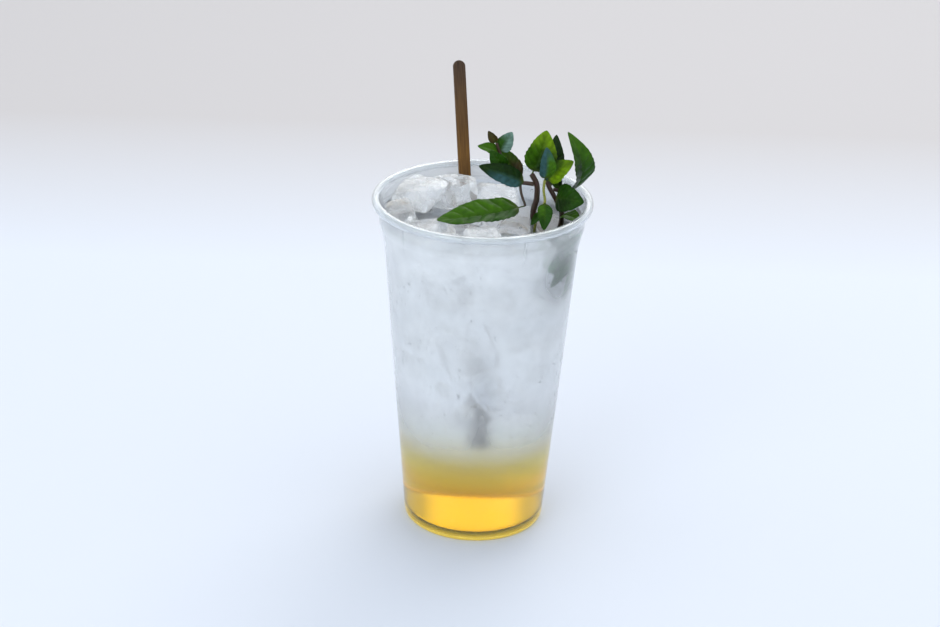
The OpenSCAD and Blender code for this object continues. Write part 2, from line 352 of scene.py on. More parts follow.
def syrup_material(name, density, color):
    m, t, s = material(name)
    put(s, IOR=1.0, Roughness=0.0, Transmission_Weight=1.0, Base_Color=(1.0, 1.0, 1.0))
    v = node(t, "ShaderNodeVolumeAbsorption", Density=density, Color=(*color, 1.0))
    t.links.new(v.outputs[0], t.nodes["Material Output"].inputs["Volume"])
    return m


def ice_material():
    m, t, s = material("ice")
    put(s, IOR=1.31, Base_Color=(0.99, 0.995, 1.0))
    # Painted light: the ice glows faintly white-blue, though nothing lights it from within
    put(s, Emission_Color=(0.92, 0.96, 1.0), Emission_Strength=0.08)
    place = own_place(t)
    clear = ramp(t, texture(t, place, 7, 3), [(0.3, 0.94), (0.65, 0.66)])
    t.links.new(clear, s.inputs["Transmission Weight"])
    r = ramp(t, texture(t, place, 5, 3), [(0.3, 0.0), (0.6, 0.04), (0.75, 0.16)])
    t.links.new(r, s.inputs["Roughness"])
    bump(t, s, texture(t, place, 4.5, 2, 0.5), 0.3, 0.4)
    return m


def sunk_ice_material():
    m, t, s = material("ice_sunk")
    put(s, IOR=1.03, Base_Color=(1.0, 1.0, 1.0))
    place = own_place(t)
    cloud = texture(t, place, 8, 3, 0.6)
    t.links.new(ramp(t, cloud, [(0.42, 1.0), (0.7, 0.94)]), s.inputs["Transmission Weight"])
    t.links.new(ramp(t, cloud, [(0.35, 0.03), (0.75, 0.3)]), s.inputs["Roughness"])
    bump(t, s, texture(t, place, 3.2, 3, 0.6), 0.35, 0.6)
    return m


def frost_material():
    m, t, s = material("ice_cloud")
    put(s, IOR=1.06, Base_Color=(1.0, 1.0, 1.0), Roughness=0.4)
    place = own_place(t)
    clear = ramp(t, texture(t, place, 1.6, 4, 0.7), [(0.35, 0.95), (0.7, 0.8)])
    t.links.new(clear, s.inputs["Transmission Weight"])
    bump(t, s, texture(t, place, 0.9, 3, 0.7), 0.2, 0.8)
    return m


def bubble_material():
    m, _, s = material("bubbles")
    put(s, IOR=1.33, Roughness=0.02, Transmission_Weight=1.0, Base_Color=(1.0, 1.0, 1.0))
    return m


def leaf_material():
    m, t, s = material("mint_leaf")
    put(s, IOR=1.40, Coat_Weight=0.04, Coat_Roughness=0.15, Coat_IOR=1.33, Specular_IOR_Level=0.16)
    a = node(t, "ShaderNodeAttribute", attribute_name="tint")
    place = own_place(t)
    fine = texture(t, place, 0.55, 4, 0.6)
    patch = texture(t, place, 4.5, 2, 0.5)
    col = mixed(t, ramp(t, fine, [(0.4, 0.0), (0.75, 0.16)]), a.outputs["Color"], (0.07, 0.17, 0.004))
    col = mixed(t, ramp(t, patch, [(0.4, 0.0), (0.7, 0.35)]), col, (0.004, 0.03, 0.004))
    t.links.new(col, s.inputs["Base Color"])
    t.links.new(ramp(t, patch, [(0.3, 0.34), (0.7, 0.5)]), s.inputs["Roughness"])
    bump(t, s, fine, 0.12, 0.5)
    return m


def stem_material():
    m, t, s = material("mint_stem")
    put(s, IOR=1.45, Roughness=0.4, Coat_Weight=0.15, Coat_Roughness=0.2)
    a = node(t, "ShaderNodeAttribute", attribute_name="tint")
    place = own_place(t)
    n = texture(t, place, 1.4, 3, 0.6)
    col = mixed(t, ramp(t, n, [(0.35, 0.0), (0.7, 0.5)]), a.outputs["Color"], (0.035, 0.045, 0.01))
    t.links.new(col, s.inputs["Base Color"])
    bump(t, s, texture(t, place, 0.5, 3, 0.6), 0.1, 0.4)
    return m


def wood_material():
    m, t, s = material("stirrer_wood")
    put(s, IOR=1.45, Coat_Weight=0.08, Coat_Roughness=0.3)
    a = node(t, "ShaderNodeAttribute", attribute_name="grain_place")
    grain = node(t, "ShaderNodeTexNoise", Scale=1.0, Detail=5.0, Roughness=0.6)
    t.links.new(a.outputs["Vector"], grain.inputs["Vector"])
    w = node(t, "ShaderNodeAttribute", attribute_name="tint")
    dark = mixed(t, 1.0, w.outputs["Color"], (0.42, 0.36, 0.32), "MULTIPLY")
    col = mixed(t, ramp(t, grain.outputs["Fac"], [(0.38, 0.0), (0.66, 1.0)]), w.outputs["Color"], dark)
    t.links.new(col, s.inputs["Base Color"])
    t.links.new(ramp(t, grain.outputs["Fac"], [(0.3, 0.5), (0.7, 0.72)]), s.inputs["Roughness"])
    bump(t, s, grain.outputs["Fac"], 0.15, 0.5)
    return m


# ---------------------------------------------------------------- cup
def corner(r):
    a = np.radians(np.linspace(-90, 0, CORNER_STEPS + 1))
    return [(BASE_R - CORNER_R + r * c, CORNER_R + r * s) for c, s in zip(np.cos(a), np.sin(a))]


def wall_heights(z0, z1, step):
    keys = sorted({z0, z1, *[z for z in (NECK_Z, COLLAR_Z) if z0 < z < z1]})
    out = [z0]
    for a, b in zip(keys, keys[1:]):
        n = max(1, round((b - a) / step))
        out += [a + (b - a) * (i + 1) / n for i in range(n)]
    return out


# Where the wall is less misted: share wiped away, turn and its spread, height and its spread
CLEAR_PATCHES = [(0.85, -34, 21, 127, 16), (0.5, -86, 9, 66, 26)]
# Extra turns around the middle of each rib, so that its round side shows
RIB_TURNS = (-0.8, -0.65, -0.5, -0.35, -0.2, 0, 0.2, 0.35, 0.5, 0.65, 0.8)


def make_cup(mat):
    profile = [(0, RECESS_H)] + [(RECESS_R * k / 6, RECESS_H) for k in range(1, 6)]
    profile += [(RECESS_R - 0.3, RECESS_H), (RECESS_R, RECESS_H - 0.12)]
    profile += [(FOOT_IN_R - 0.1, 0.2), (FOOT_IN_R + 0.25, 0.0)]
    profile += corner(CORNER_R)
    profile += [(outer_r(z), z) for z in wall_heights(2 * CORNER_R, ROLL_Z, WALL_STEP)]
    turn = np.radians(np.linspace(180, 180 - ROLL_TURN, ROLL_STEPS))
    inner = ROLL_R - WALL
    profile += [(ROLL_X + inner * math.cos(a), ROLL_Z + inner * math.sin(a)) for a in turn[1:]]
    end = turn[-1]
    mid = (ROLL_R + inner) / 2
    for k in (-60, -20, 20, 60):
        b = end - math.radians(90)
        q = math.radians(k)
        x, y = mid + WALL / 2 * math.sin(q), WALL / 2 * 0.7 * math.cos(q)
        out_x = ROLL_X + x * math.cos(end) + y * math.cos(b)
        profile.append((out_x, ROLL_Z + x * math.sin(end) + y * math.sin(b)))
    profile += [(ROLL_X + ROLL_R * math.cos(a), ROLL_Z + ROLL_R * math.sin(a)) for a in turn[::-1]]
    profile += [(inner_r(z), z) for z in wall_heights(2 * CORNER_R, ROLL_Z, WALL_STEP)[::-1][1:]]
    profile += corner(CORNER_R - WALL)[::-1]
    profile += [(FOOT_IN_R + WALL / 2 + 0.2, WALL), (RECESS_R + WALL / 2, FLOOR_Z - 0.1)]
    profile += [(RECESS_R + WALL / 2 - 0.4, FLOOR_Z)]
    profile += [(RECESS_R * k / 6, FLOOR_Z) for k in range(5, 0, -1)] + [(0, FLOOR_Z)]
    ribs = [RIB_TURN + i * 360 / RIBS for i in range(RIBS)]
    angles = set(np.round(np.arange(0, 360, 1.5), 3))
    for r in ribs:
        angles |= {round((r + d) % 360, 3) for d in RIB_TURNS}
    angles = np.array(sorted(angles))

    def add(r, z, a):
        out = np.zeros(len(a))
        if COLLAR_Z - 0.2 <= z <= ROLL_Z - ROLL_R + 0.1 and r > inner_r(z) + WALL / 2:
            for g in ribs:
                d = np.abs((a - math.radians(g) + math.pi) % (2 * math.pi) - math.pi) * r
                out = np.maximum(out, np.sqrt(np.maximum(0, RIB_R ** 2 - d ** 2)) - RIB_R / 4)
        return np.maximum(out, 0)

    cup = revolve("cup_shell", profile, angles, mat, add)
    co = coords(cup)
    r = np.hypot(co[:, 0], co[:, 1])
    outer = [1.0 if z > LEVEL + 1 or q > inner_r(z) + WALL / 2 else 0.0 for q, z in zip(r, co[:, 2])]
    outer = np.array(outer)
    turn = np.degrees(np.arctan2(co[:, 1], co[:, 0]))
    for share, at, wide, z, high in CLEAR_PATCHES:
        outer *= 1 - share * np.exp(-((turn - at) / wide) ** 2 - ((co[:, 2] - z) / high) ** 2)
    paint(cup, "outer", outer)
    finish_piece(cup, "cup_plastic", "cup")


# ---------------------------------------------------------------- ice
def voxel(ob, size):
    m = ob.modifiers.new("remesh", "REMESH")
    m.mode = "VOXEL"
    m.voxel_size = size * MM
    m.use_smooth_shade = True
    applied(ob)


def relax(ob, times):
    m = ob.modifiers.new("smooth", "SMOOTH")
    m.factor = 0.5
    m.iterations = times
    applied(ob)


def melted(ob, seed):
    """Hollows and ripples of melting ice, all inwards."""
    co, n = coords(ob), normals(ob)
    wide = rough(co, 9.0, seed)
    mid = rough(co, 3.6, seed + 3)
    fine = rough(co, 1.5, seed + 5)
    inward = 0.35 + 0.55 * wide + 0.3 * mid + 0.1 * fine
    set_coords(ob, co - n * np.clip(inward, 0.02, 1.3)[:, None])


def make_ice(mat):
    """The blocks that break the surface, from their CAD solids."""
    out = []
    for i in range(1, 10):
        src = nodes[f"ice_{i}"]
        ob = bpy.data.objects.new(f"ice_block_{i}", src.data.copy())
        ob.data.materials.clear()
        ob.data.materials.append(mat)
        scene.collection.objects.link(ob)
        voxel(ob, ICE_VOXEL)
        relax(ob, 14)
        melted(ob, i * 1.7)
        relax(ob, 2)
        ob.data.shade_smooth()
        finish_piece(ob, "ice", f"ice_{i}")
        out.append(ob)
    return out


def rounded_block(sides, radius, cuts):
    """A box with rounded edges as a grid on six faces, welded."""
    bm = bmesh.new()
    bmesh.ops.create_cube(bm, size=2.0)
    bmesh.ops.subdivide_edges(bm, edges=bm.edges[:], cuts=cuts, use_grid_fill=True)
    p = np.array([v.co[:] for v in bm.verts])
    half = np.asarray(sides) / 2
    q = p * half
    core = np.clip(q, -(half - radius), half - radius)
    d = q - core
    long = np.linalg.norm(d, axis=1)
    long[long == 0] = 1
    grown = core + d / long[:, None] * radius
    faces = [[v.index for v in f.verts] for f in bm.faces]
    bm.free()
    return grown, faces


def turned(points, angles):
    x, y, z = (Matrix.Rotation(math.radians(a), 3, axis) for a, axis in zip(angles, "XYZ"))
    return points @ np.array(z @ y @ x).T


def grid_rim(rows, cols):
    """The points around the edge of a grid of that many cells, in order."""
    m = cols + 1
    rim = list(range(m)) + [i * m + cols for i in range(1, rows + 1)]
    rim += [rows * m + k for k in range(cols - 1, -1, -1)]
    return rim + [i * m for i in range(rows - 1, 0, -1)]


def keep_inside(v, gap):
    """Points are drawn in so that they stay that far from the wall."""
    r = np.hypot(v[:, 0], v[:, 1])
    limit = np.array([inner_r(z) for z in v[:, 2]]) - gap
    k = np.where(r > limit, limit / np.maximum(r, 1e-6), 1.0)
    v[:, :2] *= k[:, None]
    return v


# Sunk blocks: place of the middle, sides, rotation
SUNK = [
    [-13, -20, 112, [20, 17, 21], [10, 20, 15]],
    [12, -21, 116, [19, 16, 20], [-14, 8, 40]],
    [26, -5, 113, [16, 15, 19], [20, -12, 10]],
    [-27, 3, 113, [17, 16, 19], [-12, 14, 60]],
    [3, 2, 112, [19, 18, 17], [25, 30, 0]],
    [-8, 24, 112, [18, 15, 19], [-10, -20, 30]],
    [16, 20, 110, [18, 17, 16], [12, 15, 70]],
    [-4, -22, 91, [22, 17, 19], [6, -16, 8]],
    [17, -15, 92, [17, 16, 19], [30, 10, 25]],
    [-22, -9, 91, [16, 18, 17], [-20, 12, -30]],
    [23, 7, 91, [16, 15, 17], [8, 28, 12]],
    [-14, 15, 92, [18, 17, 16], [14, -8, 50]],
    [5, 16, 90, [17, 15, 17], [-18, 22, 20]],
    [-12, -18, 71, [18, 16, 16], [12, 24, -20]],
    [8, -19, 72, [17, 16, 17], [-10, -14, 30]],
    [22, -2, 73, [15, 15, 15], [22, 8, 0]],
    [-21, 4, 72, [15, 16, 15], [-8, 30, 45]],
    [4, 8, 70, [16, 15, 15], [28, -18, 10]],
    [-3, -10, 55, [14, 12, 10], [20, 10, 30]],
    [14, 6, 56, [12, 11, 10], [-20, 24, 5]],
]


def make_sunk_ice(mat, frost):
    rng = np.random.default_rng(7)
    for i, (x, y, z, sides, rot) in enumerate(SUNK):
        v, f = rounded_block(sides, SUNK_ROUND, 20)
        n = v / np.maximum(np.linalg.norm(v, axis=1), 1e-6)[:, None]
        v = v - n * (0.5 + 1.1 * rough(v, 8.5, i + 0.5) + 0.35 * rough(v, 3.0, i + 20))[:, None]
        v = turned(v, rot) + [x, y, z]
        ob = new_object(f"ice_sunk_{i + 1}", keep_inside(v, SUNK_GAP), f, mat)
        finish_piece(ob, "ice")
    clouds = []
    for i, (x, y, z, sides, rot) in enumerate(SUNK):
        for k in range(2):
            v, f = rounded_block([2, 2, 2], 0.99, 9)
            size = np.array(sides) * rng.uniform(0.14, 0.3, 3)
            v = v * (1 + 0.35 * rough(v * 3, 1.6, i + k * 9))[:, None] * size
            v = turned(v, rng.uniform(-90, 90, 3)) + [x, y, z] + rng.uniform(-0.16, 0.16, 3) * sides
            clouds.append((keep_inside(v, CLOUD_GAP), f))
    ob = join_meshes("ice_clouds", clouds, frost)
    finish_piece(ob, "ice")


def make_cracks(blocks, frost):
    """Thin curved cracks inside the blocks: closed lens shapes."""
    rng = np.random.default_rng(11)
    parts = []
    for ob in blocks:
        co = coords(ob)
        mid, half = (co.max(0) + co.min(0)) / 2, (co.max(0) - co.min(0)) / 2
        for k in range(3):
            n = 14
            a = rng.uniform(0, 360, 3)
            w = rng.uniform(0.22, 0.42) * half.min() * 1.3
            g = np.linspace(-1, 1, n + 1)
            top, low = [], []
            bend, skew = rng.uniform(-0.5, 0.5), rng.uniform(0.5, 1.0)
            for u in g:
                for q in g:
                    # a square grid pressed into a disc
                    x, y = u * math.sqrt(1 - q * q / 2), q * math.sqrt(1 - u * u / 2)
                    r = min(1.0, math.hypot(x, y))
                    z = bend * (x * x - 0.6 * y) + 0.12 * noise.noise(Vector((x * 2, y * 2, k + a[0])))
                    thick = 0.045 * math.sqrt(max(0.0, 1 - r * r)) + 0.004
                    top.append([x * w, y * w * skew, z * w * 0.5 + thick])
                    low.append([x * w, y * w * skew, z * w * 0.5 - thick])
            m = n + 1
            faces = []
            for i in range(n):
                for j in range(n):
                    c = i * m + j
                    faces.append([c, c + m, c + m + 1, c + 1])
                    faces.append([m * m + c, m * m + c + 1, m * m + c + m + 1, m * m + c + m])
            rim = grid_rim(n, n)
            for p, q in zip(rim, rim[1:] + rim[:1]):
                faces.append([p, q, m * m + q, m * m + p])
            v = turned(np.array(top + low), a) + mid + rng.uniform(-0.25, 0.25, 3) * half
            parts.append((v, faces))
    ob = join_meshes("ice_cracks", parts, frost)
    finish_piece(ob, "ice")


# ---------------------------------------------------------------- drink
def make_drink(mat, ice):
    low = FLOOR_Z - DRINK_REACH
    profile = [(0, low)] + [(RECESS_R * k / 6, low) for k in range(1, 6)]
    profile += [(RECESS_R + WALL / 2, low), (FOOT_IN_R + WALL / 2, WALL - DRINK_REACH)]
    profile += corner(CORNER_R - WALL + DRINK_REACH)
    profile += [(inner_r(z) + DRINK_REACH, z) for z in wall_heights(2 * CORNER_R, LEVEL, 3.0)]
    rise, reach = MENISCUS_RISE, MENISCUS_REACH
    wall_r = inner_r(LEVEL)
    profile += [(inner_r(LEVEL + rise) + DRINK_REACH, LEVEL + rise)]
    for k in (0.03, 0.08, 0.16, 0.28, 0.42, 0.6, 0.8):
        profile.append((wall_r - reach * k, LEVEL + rise * (1 - k) ** 2.6))
    profile += [(r, LEVEL) for r in np.linspace(wall_r - reach, 0, 26)[:-1]] + [(0, LEVEL)]
    drink = revolve("drink", profile, np.arange(0, 360, 2.0), mat)
    co = coords(drink)
    top = (co[:, 2] > LEVEL - 0.001) & (np.hypot(co[:, 0], co[:, 1]) < wall_r - reach + 0.1)
    co[top, 2] += 0.16 * rough(co[top], 11, 2.0) + 0.07 * rough(co[top], 4, 4.0)
    set_coords(drink, co)
    for ob in ice:
        cut = bpy.data.objects.new("cut", ob.data.copy())
        scene.collection.objects.link(cut)
        set_coords(cut, coords(cut) - normals(cut) * 0.05)
        b = drink.modifiers.new("cut", "BOOLEAN")
        b.operation, b.solver, b.object = "DIFFERENCE", "MANIFOLD", cut
        applied(drink)
        bpy.data.objects.remove(cut)
    drink.data.materials.clear()
    drink.data.materials.append(mat)
    drink.data.shade_smooth()
    drink.data.set_sharp_from_angle(angle=math.radians(40))
    finish_piece(drink, "soda", "soda")


def make_syrup(name, mat, top_z, gap, *replaced):
    profile = [(0, FLOOR_Z + gap)] + [(RECESS_R * k / 4, FLOOR_Z + gap) for k in range(1, 4)]
    profile += [(RECESS_R + WALL / 2 + gap / 2, FLOOR_Z + gap), (FOOT_IN_R + WALL / 2 + gap / 2, WALL + gap)]
    profile += corner(CORNER_R - WALL - gap)
    profile += [(inner_r(z) - gap, z) for z in wall_heights(2 * CORNER_R, top_z, 4.0)]
    top = inner_r(top_z) - gap
    profile += [(r, top_z) for r in np.linspace(top, 0, 12)[1:-1]] + [(0, top_z)]
    ob = revolve(name, profile, np.arange(0, 360, 3.0), mat)
    co = coords(ob)
    upper = co[:, 2] > top_z - 0.01
    co[upper, 2] += 0.7 * rough(co[upper], 16, gap * 30)
    set_coords(ob, co)
    finish_piece(ob, "syrup", *replaced)


# ---------------------------------------------------------------- stirrer
# Colours of the wood near the drink and at the far end, and a pale lavender painted haze of light for the
# part under the level; shares of the wet part
WOOD_LOW, WOOD_TOP = np.array([0.27, 0.125, 0.018]), np.array([0.072, 0.036, 0.015])
SUNK_WOOD_PAINTED_HAZE, WOOD_WET = np.array([0.33, 0.28, 0.30]), 0.55
WOOD_FADE_FROM, WET_FADE_H, DEEP_GAP, DEEP_FADE_H = 118, 14, 12, 10


def make_stirrer(mat):
    foot = Vector((STICK_FOOT_X, inner_r(STICK_FOOT_H) - STICK_FOOT_GAP, STICK_FOOT_H))
    back = math.atan((inner_r(NECK_Z) - STICK_TOP_GAP - foot.y) / (NECK_Z - STICK_FOOT_H))
    M = Matrix.Translation(foot) @ Matrix.Rotation(-math.radians(STICK_LEAN), 4, "Y")
    M = M @ Matrix.Rotation(-back, 4, "X") @ Matrix.Rotation(math.radians(STICK_TURN), 4, "Z")
    half_w, half_t, edge = STICK_W / 2, STICK_T / 2, 0.28
    ends = half_w * (1 - np.cos(np.radians(np.linspace(4, 90, 12))))
    along = np.concatenate([ends, np.linspace(half_w, STICK_LEN - half_w, 110)[1:-1], STICK_LEN - ends[::-1]])
    local = []
    n = 40
    for z in along:
        d = min(z, STICK_LEN - z)
        w = half_w if d >= half_w else math.sqrt(max(half_w ** 2 - (half_w - d) ** 2, 0.01))
        e = min(edge, w * 0.9)
        t = half_t - (0.18 * max(0, 1 - d / 0.7) ** 2)
        for k in range(n):
            a = 2 * math.pi * k / n
            c, s = math.cos(a), math.sin(a)
            # a rounded rectangle, flat on its two broad faces
            x = (w - e) * max(-1, min(1, 1.9 * c)) + e * math.copysign(abs(c) ** 0.8, c)
            y = (t - e) * max(-1, min(1, 3.2 * s)) + e * s
            y += 0.035 * noise.noise(Vector((x * 1.2, z * 0.05, 5.0 + math.copysign(2, s))))
            local.append([x, y, z])
    local = np.array(local)
    verts = [M @ Vector(p) for p in local]
    faces = []
    for i in range(0, (len(along) - 1) * n, n):
        for k in range(n):
            q = (k + 1) % n
            faces.append([i + k, i + q, i + n + q, i + n + k])
    faces.append(list(range(n))[::-1])
    faces.append([(len(along) - 1) * n + k for k in range(n)])
    ob = new_object("stirrer_stick", [v[:] for v in verts], faces, mat)
    grain = ob.data.attributes.new("grain_place", "FLOAT_VECTOR", "POINT")
    grain.data.foreach_set("vector", (local * [1.6, 1.6, 0.055]).ravel())
    z = np.array([v.z for v in verts])
    up = np.clip((local[:, 2] - WOOD_FADE_FROM) / (STICK_LEN - WOOD_FADE_FROM), 0, 1)[:, None]
    dry = np.clip((z - LEVEL) / WET_FADE_H, 0, 1)[:, None]
    deep = np.clip((LEVEL - DEEP_GAP - z) / DEEP_FADE_H, 0, 1)[:, None]
    col = (WOOD_LOW * (1 - up) + WOOD_TOP * up) * (WOOD_WET + (1 - WOOD_WET) * dry)
    # painted light: well under the level the wood fades from its brown to a pale lavender haze
    paint(ob, "tint", col * (1 - deep) + SUNK_WOOD_PAINTED_HAZE * deep)
    finish_piece(ob, "stirrer_wood", "stirrer")


# ---------------------------------------------------------------- mint
# Stems: radius at each end as shares of the thickest, then the points of the middle line
STEMS = [
    [1.00, 0.85, [[8, 3, -38], [4.5, 2, -18], [0, 0, 0], [1.2, 0, 9], [1, 0, 15.2], [-1.3, 0, 20]]],
    [0.70, 0.45, [[-0.4, 0, 15.6], [-3.4, 0, 15.9], [-6.3, 0, 16.4], [-9.6, 0.5, 19],
                  [-12.5, 1, 22.3], [-15.2, 2, 28.5], [-16.7, 2, 32.9]]],
    [0.85, 0.70, [[10, 4, -26], [12, 3, -12], [12.3, 2, 1], [11.4, 1.8, 4.5],
                  [8.9, 1, 9.5], [6.8, 0.9, 13.2], [5.2, 1, 16.5]]],
    [0.45, 0.40, [[0.3, -10.5, -6], [0.9, -10, 2.6], [2.9, -9, 6.4], [4.5, -8, 10.6],
                  [3.8, -7, 15.7], [4.1, -7, 20]]],
    [0.45, 0.40, [[-6.1, -0.9, 15.5], [-5.5, -2.4, 12.0], [-3.6, -4.2, 7.2]]],
    [0.60, 0.55, [[8.4, 1.45, 12.8], [11, 2.5, 11.8], [15.4, 4, 10.6]]],
]
# The darkest green is painted shade on leaves turned from the light, the lime is painted light shining
# through thin leaves, and the blue-grey is a painted reflection of the sky; the middle greens are the leaves'
# own colour
SHADE_DARK_GREEN, MID, GREEN = (0.004, 0.018, 0.002), (0.014, 0.06, 0.001), (0.038, 0.115, 0.0)
BACKLIT_LIME, SKY_SHEEN_BLUE, BROWN = (0.15, 0.28, 0.0), (0.03, 0.085, 0.10), (0.045, 0.025, 0.008)
PALE = (0.13, 0.22, 0.19)
RED, GOLD = (0.035, 0.012, 0.01), (0.28, 0.30, 0.04)
# Each leaf: stem, point on it, tip, direction its face looks, width, bow,
# colours of its left and right halves, colour of the far end, teeth; besides the leaves' own greens these
# colours hold painted shade, painted light through the leaf and a painted sheen of the sky
LEAVES = [
    [0, 5, [4.6, 6, 37.8], [0.35, -1, 0.35], 14.5, 2, SHADE_DARK_GREEN, GREEN, BACKLIT_LIME, 9],
    [3, 5, [4.4, -6, 34.5], [0.4, -1, 0.2], 8, 1.5, GREEN, SKY_SHEEN_BLUE, SKY_SHEEN_BLUE, 8],
    [5, 2, [13.4, 1, 39.2], [0.85, -0.8, 0.1], 13.5, 7.5, MID, SHADE_DARK_GREEN, GREEN, 12],
    [2, 5, [9, 13, 33.5], [0.3, -1, 0.2], 9.5, 1, SHADE_DARK_GREEN, SKY_SHEEN_BLUE, SHADE_DARK_GREEN, 9],
    [2, 6, [16.2, 0, 26.5], [-0.1, -0.9, 0.9], 10, 1.5, BACKLIT_LIME, MID, BACKLIT_LIME, 7],
    [2, 4, [21.2, -5.5, 10], [-0.1, -1, 0.5], 13, 2, SHADE_DARK_GREEN, MID, MID, 8],
    [2, 2, [20, -6.5, 1.7], [0, -0.4, 1], 8, 0.8, GREEN, GREEN, GREEN, 5],
    [3, 3, [4.3, -16.8, 1.2], [0.1, -0.7, 0.7], 7, 1, GREEN, MID, MID, 8],
    [3, 2, [-1, -11.2, 1.2], [0, -1, 0.5], 3.4, 0.3, MID, MID, MID, 4],
    [4, 2, [-41.1, -16.5, 4.4], [0, -0.3, 1], 17, -1.2, GREEN, MID, GREEN, 13],
    [1, 1, [-24, -4.5, 24.8], [0, -1, 0.7], 9.5, 0.6, SHADE_DARK_GREEN, SKY_SHEEN_BLUE, SHADE_DARK_GREEN, 9],
    [1, 4, [-19.2, -1, 30.6], [-0.2, -1, 0.1], 8, 1, MID, MID, MID, 6],
    [1, 2, [-14.5, 5, 30], [0.5, -1, 0.1], 9.5, -1, BROWN, GREEN, GREEN, 8],
    [1, 5, [-24.7, 1.5, 31.6], [0, -0.6, 1], 6, 0.6, GREEN, GREEN, GREEN, 5],
    [1, 5, [-10.2, 4.5, 37.2], [-0.2, -1, 0.3], 7.5, 0.8, PALE, MID, PALE, 5],
    [1, 6, [-20.4, 2, 38.2], [-0.3, -1, 0.3], 4.2, 0.4, BROWN, BROWN, BROWN, 4],
    [5, 1, [5.5, 10, 22], [0.2, -1, 0.5], 5.5, 1.5, SHADE_DARK_GREEN, MID, SHADE_DARK_GREEN, 5],
]
# Sunk leaves behind the right wall: base, tip, face, width, bow, colours, teeth; on the level's middle
MILKY, DEEP = (0.04, 0.2, 0.035), (0.02, 0.12, 0.02)
SUNK_LEAVES = [
    [[22, -20, -3], [39.4, -5, -19], [0.55, -1, 0.0], 15, 1.5, MILKY, DEEP, MILKY, 9],
    [[30, -19, 0], [39.5, 4, -14], [0.9, -0.9, 0.1], 14, 1.5, DEEP, MILKY, MILKY, 8],
    [[38.5, -1, -3], [28, -22, -21], [0.7, -1, 0.1], 11, 1, DEEP, MILKY, DEEP, 8],
    [[36, 6, -10], [33, -14, -30], [0.8, -0.8, 0.1], 10, 1, MILKY, MILKY, MILKY, 8],
]


def spline(points, n):
    p = np.array(points, float)
    last = len(p) - 1
    out = []
    for i in range(last):
        a, b, c, d = p[max(i - 1, 0)], p[i], p[i + 1], p[min(i + 2, last)]
        for k in range(n):
            t = k / n
            out.append(0.5 * (2 * b + (c - a) * t + (2 * a - 5 * b + 4 * c - d) * t ** 2
                              + (3 * b - a - 3 * c + d) * t ** 3))
    return np.array(out + [p[last]])


def unit(v):
    return v / np.linalg.norm(v)


def make_stems(mat):
    for s, (r0, r1, points) in enumerate(STEMS):
        path = MINT_FOOT + spline(points, 9)
        m, n = len(path), 16
        k = STEM_R / STEMS[0][0]
        radii = k * np.linspace(r0, r1, m)
        verts = []
        ends = []
        for i in range(m):
            along = unit(path[min(i + 1, m - 1)] - path[max(i - 1, 0)])
            side = unit(np.cross(along, [0.3, 1, 0.1]))
            other = np.cross(along, side)
            ends.append(along)
            for q in range(n):
                a = 2 * math.pi * q / n
                # mint stems are four-sided with soft corners
                r = radii[i] * (1 - 0.07 * (1 - math.cos(4 * a)) / 2)
                r *= 1 + 0.05 * noise.noise(Vector(path[i] * 0.5 + q * 0.3))
                verts.append(path[i] + r * (math.cos(a) * side + math.sin(a) * other))
        faces = []
        for i in range(0, (m - 1) * n, n):
            for q in range(n):
                faces.append([i + q, i + n + q, i + n + (q + 1) % n, i + (q + 1) % n])
        c0, c1 = len(verts), len(verts) + 1
        verts += [path[0] - ends[0] * radii[0] * 0.4, path[-1] + ends[-1] * radii[-1] * 0.4]
        faces += [[c0, q, (q + 1) % n] for q in range(n)]
        faces += [[c1, (m - 1) * n + (q + 1) % n, (m - 1) * n + q] for q in range(n)]
        ob = new_object(f"mint_sprig_stem_{s + 1}", verts, faces, mat)
        col = np.array(GOLD if s == 3 else RED)
        share = np.clip((np.array(verts)[:, 2] - LEVEL) / 22, 0, 1)[:, None]
        tone = col * (0.8 + 0.5 * share) if s == 3 else col * (1.0 + 0.6 * share)
        paint(ob, "tint", tone)
        finish_piece(ob, "mint_stem", f"mint_stem_{s + 1}")


def leaf_half(s, w):
    b = np.maximum(0, s - STALK_SHARE) / (1 - STALK_SHARE)
    belly = np.abs(np.sin(np.pi * b ** LEAF_BELLY)) ** LEAF_FULLNESS
    return (STALK_W * (1 - s) + TIP_W * s) / 2 + (w - STALK_W) / 2 * belly


